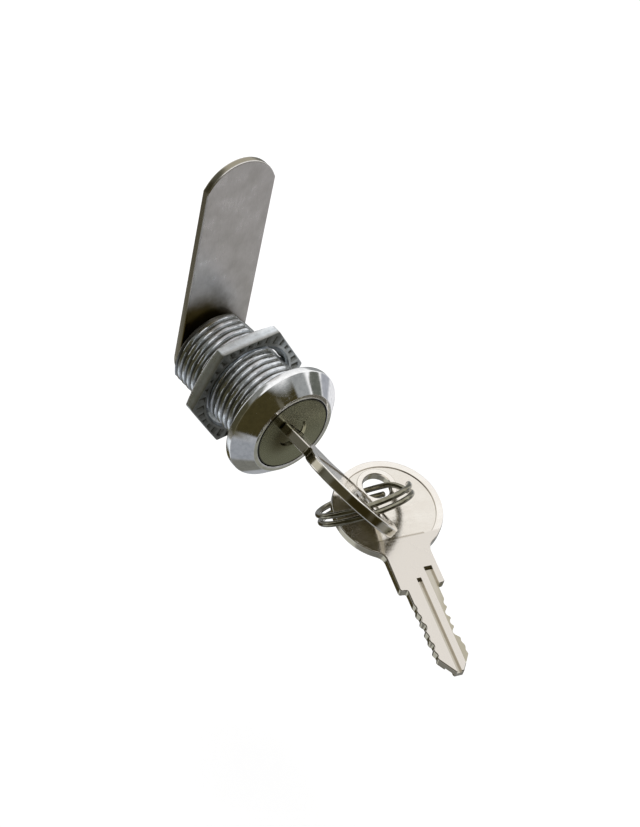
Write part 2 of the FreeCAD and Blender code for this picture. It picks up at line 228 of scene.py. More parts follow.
# Thin wandering scratches from handling, laid in two directions and only in patches.
def makeHandlingScratches():
    group, given, result = newGroup(
        "handlingScratches", {"Vector": "Vector", "Spacing mm": 1.5, "Thin": 0.012}, {"Mask": "Float"})
    scale = 1 / mm / given("Spacing mm")
    lines = []
    for turn, stretch in (((0.3, 0.5, 0.4), (1.0, 0.09, 0.6)), ((1.2, 0.2, 2.1), (0.08, 1.0, 0.7))):
        laid = addNode(group, "ShaderNodeMapping",
                       {"Vector": given("Vector"), "Rotation": turn, "Scale": stretch})
        lines.append(spread(abs(noise(laid, scale, 1.5, 0.4) - 0.5), given("Thin"), 0.0))
    patches = spread(noise(given("Vector"), scale * 0.5, 1), 0.5, 0.62)
    feed(result["Mask"], largest(*lines) * patches)
    return group


# Two tones of one plating, drifting slowly into each other, with the rubbed edges in a third.
def makePlatingTone():
    group, given, result = newGroup(
        "platingTone", {"Vector": "Vector", "Patch mm": 6.0, "Clean": "Color", "Dull": "Color",
                        "Rubbed": "Color", "Rub": 0.0},
        {"Color": "Color", "Mask": "Float"})
    scale = 1 / mm / given("Patch mm")
    cloud = spread(noise(given("Vector"), scale, 4, 0.6), 0.36, 0.64)
    plated = blendColour(cloud, given("Clean"), given("Dull"))
    uneven = spread(noise(given("Vector"), scale * 6.0, 2), 0.35, 0.6, 0.35, 1.0)
    feed(result["Color"], blendColour(given("Rub") * uneven, plated, given("Rubbed")))
    feed(result["Mask"], cloud)
    return group


# Circles left by turning on a lathe about the lock's axis.
def makeTurnedRings():
    group, given, result = newGroup("turnedRings", {"Vector": "Vector", "Spacing mm": 0.12},
                                    {"Mask": "Float", "Height": "Float"})
    x, y, z = splitVector(given("Vector"))
    drift = 0.02  # how fast a circle changes on its way round
    point = joinVector(distance(x, z) + y * 0.7, x * drift, z * drift)
    field = noise(point, 1 / mm / given("Spacing mm"), 2, 0.5)
    feed(result["Mask"], spread(field, 0.35, 0.65))
    feed(result["Height"], field)
    return group


metalGrain = makeMetalGrain()
handlingScratches = makeHandlingScratches()
platingTone = makePlatingTone()
turnedRings = makeTurnedRings()


def useGroup(tree, group, inputs):
    first = addNode(tree, "ShaderNodeGroup", inputs, node_tree=group)
    return outputsOf(tree, first.socket.node)


# Tones of a flat part by its own place: its shank, a patch of painted shade round one point, painted shade in
# its creases, and painted shade on its cut edges.
def flatPartTone(place, rub, colour, facts):
    depth, along, across = splitVector(place)
    if "shank" in facts:
        start, half = facts["shankFrom"] * mm, 0.2 * mm  # half the way over which the tone changes
        colour = blendColour(spread(along, start - half, start + half), colour, facts["shank"])
    if "shadePatch" in facts:
        # a soft patch of painted shade round one point, where a nearby part darkens the face
        shadePatch = facts["shadePatch"]
        away = distance(along - shadePatch["middle"][0] * mm, across - shadePatch["middle"][1] * mm)
        away = away + noise(place, 0.35 / mm, 2) * (shadePatch["waver"] * mm)
        mask = spread(away, shadePatch["outer"] * mm, shadePatch["inner"] * mm, smooth=True)
        # only the side towards the lock's face gets the painted shade
        share = (depth < 0.0) * shadePatch["share"]
        colour = blendColour(mask * share, colour, shadePatch["tone"])
    if "creaseShade" in facts:
        colour = paintCreaseShade(along, across, colour, facts["creaseShade"])
    # painted shade on the cut edges, darkest halfway through the thickness
    if "edge" in facts:
        wallShade = spread(abs(depth), facts["edgeTo"] * mm, facts["edgeFrom"] * mm)
        if "grooveShare" in facts:
            # on the blade the milled grooves get less of the painted shade than the outer edge
            wallShade = wallShade * largest(along < facts["bladeFrom"] * mm, rub, facts["grooveShare"])
        colour = blendColour(wallShade * facts["edgeShadeShare"], colour, facts["edge"])
    return colour


# Painted shade in the corners of a sunk panel: round its rim, round a raised ring and along its straight end.
def paintCreaseShade(along, across, colour, facts):
    fade = 0.3  # share of a crease's width that is dark all through
    lines = []
    for middle, radius, wide in facts["rounds"]:
        away = distance(along - middle[0] * mm, across - middle[1] * mm)
        lines.append(spread(abs(away - radius * mm), wide * mm, wide * fade * mm))
    if "end" in facts:
        end, wide = facts["end"] * mm, facts["endWide"] * mm
        lines = [line * (along < end) for line in lines]
        lines.append(spread(abs(along - end), wide, wide * fade) * (abs(across) < facts["endHalf"] * mm))
    return blendColour(largest(*lines) * facts["share"], colour, facts["tone"])


def newMaterial(name):
    material = bpy.data.materials.new(name)
    material.use_nodes = True
    return material, material.node_tree


def metalFinish(name, facts):
    material, tree = newMaterial(name)
    shader = tree.nodes["Principled BSDF"].inputs
    place, rub = readPlace(tree, facts.get("attribute")), readMark(tree, "rub")
    tone = useGroup(tree, platingTone, {
        "Vector": place, "Patch mm": facts["patch"], "Clean": facts["clean"], "Dull": facts["dull"],
        "Rubbed": facts["rubbed"], "Rub": rub})
    grain = useGroup(tree, metalGrain, {
        "Vector": place, "Grain mm": facts["grain"], "Stretch": facts.get("stretch", (1, 1, 1))})
    marks = useGroup(tree, handlingScratches, {"Vector": place, "Spacing mm": facts.get("scratchGap", 2.5)})
    colour, height = tone("Color"), grain("Height")
    rough = spread(grain("Mask"), 0, 1, *facts["rough"])
    if "fleck" in facts:
        colour = blendColour(grain("Mask") * facts["fleck"], colour, facts["fleckTone"])
    if "flats" in facts:
        colour = flatPartTone(place, rub, colour, facts["flats"])
    if "turned" in facts:
        rings = useGroup(tree, turnedRings, {"Vector": readPlace(tree), "Spacing mm": facts["turned"]})
        height = height * 0.4 + rings("Height") * 0.8
        rough = rough + rings("Mask") * 0.05
    rough = rough + tone("Mask") * facts.get("patchRough", 0.05)
    rough = rough + marks("Mask") * facts.get("scratchRough", 0.15)
    rough = rough - rub * 0.08  # rubbed edges are smoother
    height = height - marks("Mask") * facts.get("scratchDepth", 0.3)
    # the stored mark darkens the colour: grime on the nut's front face, and painted shade in the thread's
    # roots, in the teeth's grooves and next to the cam
    if "grimeAndShade" in facts:
        dirtAndShade = readMark(tree, "dirtAndShade")
        colour = blendColour(dirtAndShade * 0.85, colour, facts["grimeAndShade"])  # some metal shines through
        rough = rough + dirtAndShade * 0.3
    bump = addNode(tree, "ShaderNodeBump", {"Strength": facts.get("bumpStrength", 0.35),
                                            "Distance": facts["bump"] * mm, "Height": height})
    feed(shader["Base Color"], colour)
    feed(shader["Roughness"], rough)
    feed(shader["Normal"], bump)
    shader["Metallic"].default_value = 1.0
    return material


# Places on flat parts are along and across, as their own axes below.
finishes = {
    "headChrome": {
        "clean": (0.82, 0.83, 0.84), "dull": (0.76, 0.765, 0.77), "rubbed": (0.98, 0.98, 0.98),
        "patch": 5.0, "grain": 0.25, "rough": (0.09, 0.15), "bump": 0.004, "turned": 0.35,
        "patchRough": 0.03, "scratchRough": 0.12},
    # its grime tone is painted shade in the thread's roots and next to the cam
    "barrelZinc": {
        "clean": (0.92, 0.945, 0.985), "dull": (0.60, 0.63, 0.66), "rubbed": (0.88, 0.89, 0.9),
        "patch": 1.6, "grain": 0.22, "rough": (0.10, 0.22), "bump": 0.05, "grimeAndShade": (0.08, 0.066, 0.034),
        "fleck": 0.4, "fleckTone": (0.38, 0.39, 0.38)},
    # its grime tone is also painted shade in the teeth's grooves and on one side of the front face
    "nutZinc": {
        "clean": (0.89, 0.94, 0.98), "dull": (0.66, 0.695, 0.72), "rubbed": (0.95, 0.96, 0.97),
        "patch": 1.6, "grain": 0.32, "rough": (0.24, 0.42), "bump": 0.08, "bumpStrength": 0.6,
        "grimeAndShade": (0.085, 0.075, 0.04), "fleck": 0.38, "fleckTone": (0.50, 0.52, 0.52)},
    "plugSatin": {
        "clean": (0.385, 0.39, 0.285), "dull": (0.36, 0.365, 0.265), "rubbed": (0.62, 0.62, 0.56),
        "patch": 5.0, "grain": 0.12, "rough": (0.20, 0.23), "bump": 0.0025, "turned": 0.3,
        "scratchDepth": 0.0, "scratchRough": 0.02, "patchRough": 0.01, "attribute": "flatPlace",
        # painted shadow of the key beside the keyway, and painted shade in the gap round the plug
        "flats": {
            "shadePatch": {"middle": (-0.5, -2.0), "inner": 1.0, "outer": 5.0, "share": 0.8, "waver": 0.3,
                      "tone": (0.08, 0.06, 0.015)},
            "creaseShade": {"rounds": (((0, 0), 7.75, 0.3),), "share": 0.95, "tone": (0.02, 0.018, 0.012)}}},
    "camSteel": {
        "clean": (0.88, 0.85, 0.845), "dull": (0.76, 0.735, 0.72), "rubbed": (0.86, 0.83, 0.80),
        "patch": 4.0, "grain": 0.3, "rough": (0.27, 0.34), "bump": 0.012, "stretch": (1, 0.25, 1),
        "scratchRough": 0.0, "scratchDepth": 0.0, "attribute": "flatPlace",
        "fleck": 0.25, "fleckTone": (0.56, 0.54, 0.52),
        # painted shade on the cam's cut edges, and a painted reflection of the barrel darkening it near its
        # foot
        "flats": {
            "edgeFrom": 0.45, "edgeTo": 0.72, "edgeShadeShare": 0.9, "edge": (0.27, 0.24, 0.165),
            "shadePatch": {"middle": (5.0, -5.2), "inner": 7.0, "outer": 13.0, "share": 0.98, "waver": 2.5,
                      "tone": (0.075, 0.05, 0.0)}}},
    "hardwareZinc": {
        "clean": (0.72, 0.73, 0.74), "dull": (0.56, 0.57, 0.57), "rubbed": (0.86, 0.86, 0.86),
        "patch": 1.4, "grain": 0.2, "rough": (0.22, 0.36), "bump": 0.02},
    "springSteel": {
        "clean": (0.50, 0.50, 0.51), "dull": (0.36, 0.35, 0.34), "rubbed": (0.7, 0.7, 0.7),
        "patch": 0.8, "grain": 0.12, "rough": (0.25, 0.38), "bump": 0.01},
    "waferBrass": {
        "clean": (0.78, 0.60, 0.30), "dull": (0.62, 0.46, 0.22), "rubbed": (0.9, 0.74, 0.42),
        "patch": 1.5, "grain": 0.15, "rough": (0.2, 0.34), "bump": 0.01},
    "keyNickel": {
        "clean": (0.95, 0.91, 0.85), "dull": (0.90, 0.85, 0.785), "rubbed": (0.97, 0.95, 0.91),
        "patch": 3.5, "grain": 0.28, "rough": (0.09, 0.19), "bump": 0.025, "stretch": (1, 3.2, 0.35),
        "attribute": "flatPlace", "scratchGap": 3.0, "fleck": 0.16, "fleckTone": (0.60, 0.53, 0.45),
        # painted shade on the keys' cut edges and in the corners of the sunk panels
        "flats": {
            "edgeFrom": 0.55, "edgeTo": 0.80, "edgeShadeShare": 0.9, "edge": (0.43, 0.395, 0.30),
            "bladeFrom": -4.2, "grooveShare": 0.62, "shankFrom": -10.95, "shank": (0.74, 0.695, 0.635),
            "creaseShade": {"rounds": (((-17.75, 0), 9.15, 0.1), ((-22.7, -0.3), 3.8, 0.1)), "end": -10.95,
                        "endHalf": 4.6, "endWide": 0.34, "share": 0.5, "tone": (0.20, 0.16, 0.09)}}},
    # the ring's tones are darkened as painted shade, for the dark surroundings its wire mirrors
    "ringNickel": {
        "clean": (0.31, 0.295, 0.23), "dull": (0.20, 0.185, 0.13), "rubbed": (0.9, 0.88, 0.85),
        "patch": 1.2, "grain": 0.15, "rough": (0.06, 0.14), "bump": 0.008},
}
materials = {name: metalFinish(name, facts) for name, facts in finishes.items()}
print("finishes:", len(materials))


def placePiece(piece, body, node):
    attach(piece, body)
    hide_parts(node)


def meshPiece(name, mesh, *finish):
    mesh.name = name
    mesh.materials.clear()
    for label in finish:
        mesh.materials.append(materials[label])
    return addObject(name, mesh)


# The piece's mesh as its modifiers leave it. They are taken off.
def finishedMesh(piece):
    bpy.context.view_layer.update()
    mesh = bpy.data.meshes.new_from_object(piece.evaluated_get(bpy.context.evaluated_depsgraph_get()))
    piece.modifiers.clear()
    return mesh


def readPoints(mesh):
    points = np.empty(len(mesh.vertices) * 3)
    mesh.vertices.foreach_get("co", points)
    return points.reshape(-1, 3)


def writeMark(mesh, name, values):
    kind, key = ("FLOAT", "value") if values.ndim == 1 else ("FLOAT_VECTOR", "vector")
    mark = mesh.attributes.new(name, kind, "POINT")
    mark.data.foreach_set(key, values.astype(np.float32).ravel())


def smoothMesh(mesh, sharpFrom=None):
    mesh.polygons.foreach_set("use_smooth", [True] * len(mesh.polygons))
    if sharpFrom:
        mesh.set_sharp_from_angle(angle=math.radians(sharpFrom))


# Join closed rings of points, the last back to the first, with one value per ring in each mark.
def closedRing(rings, marks):
    count, turns = len(rings), len(rings[0])
    step = np.arange(turns)
    after = (step + 1) % turns
    faces = []
    for row in range(count):
        low, high = row * turns, ((row + 1) % count) * turns
        faces.append(np.stack([low + step, high + step, high + after, low + after], 1))
    mesh = bpy.data.meshes.new("blank")
    mesh.from_pydata((np.concatenate(rings) * mm).tolist(), [], np.concatenate(faces).tolist())
    for name, values in marks.items():
        writeMark(mesh, name, np.repeat(values, turns))
    smoothMesh(mesh)
    return mesh


# Points at one radius, or one for each angle, and one height round the lock's axis.
def ringPoints(angles, radius, y):
    return np.stack([radius * np.cos(angles), np.full(len(angles), y), radius * np.sin(angles)], 1)


# A tree that shapes a mesh: its inputs are named and filled from the piece's own sizes.
def newShapeTree(name, sizes):
    return newGroup(name, {"Geometry": "Geometry", **sizes, "Material": "Material"},
                    {"Geometry": "Geometry"}, "GeometryNodeTree")


# Every tree ends by realizing its geometry and giving it one material.
def finishTree(geometry, given, result):
    realized = addNode(geometry.tree, "GeometryNodeRealizeInstances", {0: geometry})
    painted = addNode(geometry.tree, "GeometryNodeSetMaterial",
                      {"Geometry": realized, "Material": given("Material")})
    feed(result["Geometry"], painted)


def runTree(mesh, tree, sizes, finish):
    blank = meshPiece("blank", mesh, finish)
    modifier = blank.modifiers.new("shape", "NODES")
    modifier.node_group = tree
    keys = {item.name: item.identifier for item in tree.interface.items_tree if item.in_out == "INPUT"}
    for label, value in {**sizes, "Material": materials[finish]}.items():
        modifier[keys[label]] = value
    shaped = finishedMesh(blank)
    bpy.data.objects.remove(blank)
    return shaped


def polarPlace(tree):
    x, y, z = splitVector(addNode(tree, "GeometryNodeInputPosition"))
    return x, y, z, distance(x, z), calc("ARCTAN2", z, x)


# From 1 on the screw's crests to 0 in its roots.
def threadWave(y, angle, pitch, phase=0.0):
    return abs(calc("FRACT", y / pitch + angle / fullTurn + phase) * 2 - 1)


# Move points and keep a mark on them that the finishes read as grime and painted shade.
def pushPoints(geometry, dirtAndShade, place, chosen=True):
    marked = addNode(geometry.tree, "GeometryNodeStoreNamedAttribute",
                     {"Geometry": geometry, "Selection": chosen, "Name": "dirtAndShade", "Value": dirtAndShade},
                     data_type="FLOAT", domain="POINT")
    return addNode(geometry.tree, "GeometryNodeSetPosition",
                   {"Geometry": marked, "Selection": chosen, "Position": place})


# The housing: a turned blank whose barrel is then threaded and flattened by Geometry Nodes.
housingFacts = {
    "headR": 12.0, "frontR": 8.8, "frontY": -4.5, "bandY": -1.5, "faceBore": 7.9, "stepY": -2.2,
    "faceRound": 0.12, "frontRound": 0.14, "bandRound": 0.4, "endRound": 0.1,
    "bore": 6.2, "barrelR": 9.0, "barrelL": 22.0, "endChamfer": 0.9,
    "reliefR": 8.3, "reliefL": 0.9, "reliefSlope": 0.35,
    "grooveHalf": 3.6, "grooveR": 7.1, "grooveY": -1.2, "grooveLean": math.radians(45),
    "recessR": 7.2, "recessY": 20.6, "tabHalf": 1.55, "rows": 0.125, "turns": 360,
}
threadFacts = {
    "Pitch": 1.5 * mm, "Phase": 0.18, "Depth": 0.62 * mm, "Crest radius": 9.0 * mm, "Start": 1.0 * mm,
    # the last size on the next line is where the painted shade next to the cam begins
    "End": 22.5 * mm, "Flat half": 8.0 * mm, "Flat angle": math.radians(45), "Cam shade from": 20.0 * mm,
}


# Points round a section whose corners are radius, height and rounding.
def roundedOutline(corners):
    points, steps = [], 5
    for i, (r, y, radius) in enumerate(corners):
        here = np.array((r, y), float)
        if radius == 0:
            points.append(here)
            continue
        before = np.array(corners[i - 1][:2], float) - here
        after = np.array(corners[(i + 1) % len(corners)][:2], float) - here
        before /= np.linalg.norm(before)
        after /= np.linalg.norm(after)
        half = math.acos(max(-1, min(1, float(before @ after)))) / 2
        reach = radius / math.tan(half)
        middle = here + (before + after) / np.linalg.norm(before + after) * radius / math.sin(half)
        first, last = here + before * reach - middle, here + after * reach - middle
        sweep = math.atan2(first[0] * last[1] - first[1] * last[0], float(first @ last))
        for step in range(steps + 1):
            angle = sweep * step / steps
            turn = np.array(((math.cos(angle), -math.sin(angle)), (math.sin(angle), math.cos(angle))))
            points.append(middle + turn @ first)
    return points


# Rows down the housing's section. Only the barrel's skin gets many, for its thread.
def housingRows(facts):
    bore, barrel, length = facts["bore"], facts["barrelR"], facts["barrelL"]
    relief, reliefL, slope = facts["reliefR"], facts["reliefL"], facts["reliefSlope"]
    chamfer, step = facts["endChamfer"], 0.001  # two rows a step apart make a square shoulder
    outline = roundedOutline([
        (facts["faceBore"], facts["frontY"], facts["faceRound"]),
        (facts["frontR"], facts["frontY"], facts["frontRound"]),
        (facts["headR"], facts["bandY"], facts["bandRound"]), (facts["headR"], 0.0, facts["bandRound"]),
        (relief, 0.0, 0), (relief, reliefL - slope, 0), (barrel, reliefL + slope, 0),
        (barrel, length - chamfer, 0), (barrel - chamfer, length, facts["endRound"]), (bore, length, 0),
        (bore, facts["recessY"], 0), (bore, facts["recessY"] - step, 0),
        (bore, facts["grooveY"], 0), (bore, facts["grooveY"] - step, 0),
        (bore, facts["stepY"], 0), (facts["faceBore"], facts["stepY"], 0),
    ])
    rows = []
    for here, there in zip(outline, outline[1:] + outline[:1]):
        onBarrel = here[0] > bore + 1 and here[1] > 0.01 and there[1] > max(here[1], 0.01)
        parts = max(1, round(float(np.linalg.norm(there - here)) / facts["rows"])) if onBarrel else 1
        rows += [here + (there - here) * part / parts for part in range(parts)]
    return rows


def makeHousingMesh(facts):
    bore, turns, lean = facts["bore"], facts["turns"], facts["grooveLean"]
    angles = np.arange(turns) * fullTurn / turns
    # four grooves along the bore, in which the wafers lock
    inGroove = np.full(turns, bore)
    for quarter in range(4):
        aside = angles - lean - quarter * math.pi / 2
        wide = np.minimum(facts["grooveR"], facts["grooveHalf"] / np.maximum(np.abs(np.sin(aside)), 1e-6))
        inGroove = np.where(np.cos(aside) > 0, np.maximum(inGroove, wide), inGroove)
    # the stop washer's tab swings from the keyway's low side through a quarter turn
    swing = np.degrees((angles + math.pi / 2 + lean) % fullTurn)
    margin = math.degrees(math.asin(facts["tabHalf"] / facts["recessR"]))
    inRecess = (swing > 270 - margin) | (swing < margin)
    near = 0.0005
    rings, skin, rub = [], [], []
    for r, y in housingRows(facts):
        radius = np.full(turns, r)
        inside = r < bore + 0.01
        if inside and y > facts["grooveY"] - near:
            radius = np.maximum(radius, inGroove)
        if inside and y > facts["recessY"] - near:
            radius = np.where(inRecess, np.maximum(radius, facts["recessR"]), radius)
        rings.append(ringPoints(angles, radius, y))
        # the relief's first row lies in the seat's plane and is skin too
        onThread = y > 1e-4 and not inside and r > facts["reliefR"] - 0.3
        skin.append(1.0 if onThread or abs(r - facts["reliefR"]) < 1e-6 else 0.0)
        onBand = math.hypot(r - facts["headR"], y - facts["bandY"]) < facts["bandRound"]
        rub.append(1.0 if onBand or abs(y - facts["frontY"]) < 0.13 else 0.0)
    return closedRing(rings, {"skin": skin, "rub": rub})


# Radius of each skin point becomes the least of the blank's, the thread's and the flats' radius.
def makeThreadTree(sizes):
    tree, given, result = newShapeTree("threadAndFlats", sizes)
    x, y, z, radius, angle = polarPlace(tree)
    pitch, depth, camShadeStart = given("Pitch"), given("Depth"), given("Cam shade from")
    # narrow roots, broad crests and soft flanks between them
    flank = spread(threadWave(y, angle, pitch, given("Phase")), 0.06, 0.62, smooth=True)
    runIn = spread(y, given("Start"), given("Start") + pitch)
    runOut = spread(y, given("End"), given("End") - pitch)
    cut = depth * (runIn * runOut) * (1.0 - flank)
    across = abs(calc("COSINE", angle - given("Flat angle")))
    flat = given("Flat half") / largest(across, 0.01)
    grow = smallest(radius, given("Crest radius") - cut, flat) / radius
    chosen = addNode(tree, "FunctionNodeCompare", {0: readMark(tree, "skin"), 1: 0.5},
                     data_type="FLOAT", operation="GREATER_THAN")
    # painted shade lies in the thread's bottom, and more painted shade darkens the upper side of the end next
    # to the cam
    bottom = spread(cut, depth * 0.2, depth * 0.8)
    camShade = spread(y, camShadeStart, camShadeStart + 1.2 * mm) * spread(z, 0.0, 4.0 * mm)
    pushed = pushPoints(given("Geometry"), largest(bottom, camShade), joinVector(x * grow, y, z * grow), chosen)
    finishTree(pushed, given, result)
    return tree


def buildHousing():
    mesh = runTree(makeHousingMesh(housingFacts), makeThreadTree(threadFacts), threadFacts, "barrelZinc")
    mesh.set_sharp_from_angle(angle=math.radians(40))
    piece = meshPiece("lockHousing", mesh, "headChrome", "barrelZinc")
    # the head keeps its chrome, the barrel and the bore get zinc
    points = readPoints(mesh)
    for polygon in mesh.polygons:
        x, y, z = points[list(polygon.vertices)].mean(0)
        polygon.material_index = 1 if y > 0.02 * mm or math.hypot(x, z) < 7.8 * mm else 0
    placePiece(piece, "housing", "housing")


buildHousing()
print("housing: threaded")


# A CAD node's mesh, merged and with its sharp edges eased. Eased edges are marked as rubbed.
def easedMesh(node, ease):
    mesh = cadNodes[node].data.copy()
    work = bmesh.new()
    work.from_mesh(mesh)
    bmesh.ops.remove_doubles(work, verts=work.verts, dist=0.002 * mm)
    bmesh.ops.dissolve_limit(work, angle_limit=math.radians(0.8), verts=work.verts, edges=work.edges)
    rubbed = work.loops.layers.float.new("rub")
    limit = math.radians(28)
    sharp = [edge for edge in work.edges
             if len(edge.link_faces) == 2 and edge.calc_face_angle(0) > limit]
    result = bmesh.ops.bevel(work, geom=sharp, offset=ease * mm, segments=2, profile=0.5, affect="EDGES",
                             clamp_overlap=True, harden_normals=False)
    for face in result["faces"]:
        for corner in face.loops:
            corner[rubbed] = 1.0
    work.to_mesh(mesh)
    work.free()
    smoothMesh(mesh)
    return mesh


def weighNormals(piece):
    modifier = piece.modifiers.new("normals", "WEIGHTED_NORMAL")
    modifier.mode = "FACE_AREA_WITH_ANGLE"
    modifier.weight = 50
    modifier.keep_sharp = True
    piece.data = finishedMesh(piece)


# Turned and pressed parts that keep their CAD shape: node, piece, finish, slot and eased edge.
easedParts = (
    ("plug", "lockPlug", "plugSatin", "plug_zinc", 0.06),
    ("lock_washer", "springWasher", "hardwareZinc", "zinc_steel", 0.08),
    ("cam_nut", "camNut", "hardwareZinc", "zinc_steel", 0.1),
)
for node, name, finish, slot, ease in easedParts:
    piece = meshPiece(name, easedMesh(node, ease), finish)
    weighNormals(piece)
    # the same order as on flat parts: depth, along and across
    writeMark(piece.data, "flatPlace", readPoints(piece.data)[:, (1, 2, 0)])
    placePiece(piece, "plug", node)
print("turned and pressed parts: eased")

# The mounting nut: a ring of points that Geometry Nodes push out to the hexagon, thread and teeth.
nutFacts = {
    "bore": 9.05, "bevel": 0.45, "front": 9.8, "back": 12.5, "toothFrom": 10.0, "band": 10.9, "ease": 0.14,
    "steps": 640, "cornerTurn": 6.4, "cornerHalf": 0.82, "toothTurn": 8.25,
}
nutShape = {
    "Flat radius": 11.0 * mm, "Corner radius": 12.62 * mm,
    "Corner turn": math.radians(nutFacts["cornerTurn"]), "Teeth": 32.0,
    "Tooth turn": math.radians(nutFacts["toothTurn"]), "Tooth depth": 0.45 * mm,
    "Tooth width": 1.4 * mm, "Tooth from": 9.995 * mm, "Tooth to": 11.6 * mm, "Rim": 0.3 * mm,
    # the front face's darkening on the next two lines is part grime and part painted shade, and its lighter
    # turn is a painted reflection
    "Crown slope": 0.32, "Pitch": threadFacts["Pitch"], "Thread depth": 0.5 * mm, "Front grime and shade": 0.78,
    "Lit turn": math.radians(22), "Lit half": math.radians(42),
    "Flat half": threadFacts["Flat half"], "Flat angle": threadFacts["Flat angle"],
    "Crest radius": 8.35 * mm, "Clear": 0.1 * mm,
}


# Rows round the nut's section: radius, height, share of the way out to the hexagon, inset, and marks.
def nutRows(facts):
    bore, bevel, front, back = facts["bore"], facts["bevel"], facts["front"], facts["back"]
    band, ease, start, lip = facts["band"], facts["ease"], facts["toothFrom"], bore + bevel
    arc = [(ease * (1 - math.cos(a)), ease * (1 - math.sin(a))) for a in np.radians((0, 30, 60, 90))]
    rows = [(bore, front + bevel, 0, 0, ""), (bore + bevel / 2, front + bevel / 2, 0, 0, "")]
    rows += [(r, front, 0, 0, "front") for r in (lip, start - 0.01, *np.linspace(start, band, 8))]
    rows += [(band, front, t, ease, "front") for t in np.linspace(0.1, 0.9, 9)]
    rows += [(band, front + rise, 1, inset, "front rub") for rise, inset in arc]
    rows += [(band, front + t * (back - front), 1, 0, "crown" if t > 0.5 else "") for t in (0.35, 0.65)]
    rows += [(band, back - rise, 1, inset, "crown rub") for rise, inset in reversed(arc)]
    rows += [(band, back, t, ease, "crown") for t in np.linspace(0.9, 0, 6)]
    rows += [(lip, back, 0, 0, ""), (bore + bevel / 2, back - bevel / 2, 0, 0, "")]
    rows += [(bore, y, 0, 0, "bore") for y in np.linspace(back - bevel, front + bevel, 20)[:-1]]
    return rows


def makeNutMesh(facts):
    corners = np.arange(6) * 60 + facts["cornerTurn"]
    half = facts["cornerHalf"]
    even = np.arange(facts["steps"]) * 360 / facts["steps"] + facts["toothTurn"]
    degrees = np.unique(np.round(np.concatenate([even, corners, corners - half, corners + half]) % 360, 4))
    rows = nutRows(facts)
    rings = [ringPoints(np.radians(degrees), r, y) for r, y, *rest in rows]
    marks = {"share": [row[2] for row in rows], "inset": [row[3] * mm for row in rows]}
    for mark in ("front", "crown", "bore", "rub"):
        marks[mark] = [1.0 if mark in row[4].split() else 0.0 for row in rows]
    return closedRing(rings, marks)


def makeNutTree(sizes):
    tree, given, result = newShapeTree("mountingNut", sizes)
    x, y, z, blank, angle = polarPlace(tree)
    front, inBore = readMark(tree, "front"), readMark(tree, "bore")
    # the hexagon's radius at this angle, cut a little at the corners
    half = math.pi / 6
    fromFlat = wrapped(angle - (given("Corner turn") + half), half)
    hexagon = smallest(given("Corner radius"), given("Flat radius") / calc("COSINE", fromFlat))
    radius = blank + (hexagon - readMark(tree, "inset") - blank) * readMark(tree, "share")
    # the bore's thread is cut outward, and over the barrel's flats its crests stand free and show
    wave = threadWave(y, angle, given("Pitch"))
    radius = radius + wave * given("Thread depth") * inBore
    barrel = given("Flat half") / calc("COSINE", wrapped(angle - given("Flat angle"), math.pi / 2))
    crest = largest(given("Crest radius"), barrel + given("Clear"))
    radius = radius - largest(blank - crest, 0.0) * (1.0 - wave) * inBore
    # teeth: V grooves of one width in the front face
    fromTooth = wrapped(angle - given("Tooth turn"), math.pi / given("Teeth"))
    notch = spread(abs(fromTooth) * radius, given("Tooth width") * 0.5, 0.0)
    toothEnd = smallest(given("Tooth to"), hexagon - given("Rim"))
    groove = notch * ((radius > given("Tooth from")) * (radius < toothEnd) * front)
    # the crown: the back face falls away towards the corners
    fall = largest(radius - given("Flat radius"), 0.0) * given("Crown slope") * readMark(tree, "crown")
    height = y + groove * given("Tooth depth") - fall
    grow = radius / blank
    # the front face is darkened, partly by grime and partly as painted shade, and one side is left lighter as
    # a painted reflection; the teeth's grooves get painted shade
    fromLit = abs(wrapped(angle - given("Lit turn"), math.pi))
    shadedSide = spread(fromLit, given("Lit half") * 0.7, given("Lit half"))
    dirtAndShade = largest(front * given("Front grime and shade") * shadedSide, spread(groove, 0.2, 0.8))
    pushed = pushPoints(given("Geometry"), dirtAndShade, joinVector(x * grow, height, z * grow))
    finishTree(pushed, given, result)
    return tree


def buildNut():
    mesh = runTree(makeNutMesh(nutFacts), makeNutTree(nutShape), nutShape, "nutZinc")
    mesh.set_sharp_from_angle(angle=math.radians(32))
    placePiece(meshPiece("mountingNut", mesh, "nutZinc"), "mounting_nut", "mounting_nut")


buildNut()
print("mounting nut: cut")


# Flat parts cut to an outline. Their own axes are the thickness, the way along and the way across.
def insetLoop(loop, inset):
    along = np.roll(loop, -1, 0) - np.roll(loop, 1, 0)
    along /= np.linalg.norm(along, axis=1)[:, None]
    return loop + np.stack([-along[:, 1], along[:, 0]], 1) * inset


def roundedPlate(outline, facts):
    half, ease = facts["thick"] / 2, facts["ease"]
    arc = [(ease * (1 - math.sin(a)), ease * (1 - math.cos(a))) for a in np.radians(np.linspace(90, 0, 6))]
    levels = [(drop - half, inset) for drop, inset in arc]
    levels += [(half - drop, inset) for drop, inset in reversed(arc)]
    count = len(outline)
    points = [np.insert(insetLoop(outline, inset), 0, depth, 1) for depth, inset in levels]
    step = np.arange(count)
    after = (step + 1) % count
    faces = [list(step[::-1]), list(step + (len(levels) - 1) * count)]
    for row in range(len(levels) - 1):
        low, high = row * count, (row + 1) * count
        faces += np.stack([low + step, low + after, high + after, high + step], 1).tolist()
    mesh = bpy.data.meshes.new("plate")
    mesh.from_pydata(np.concatenate(points).tolist(), [], faces)
    return mesh


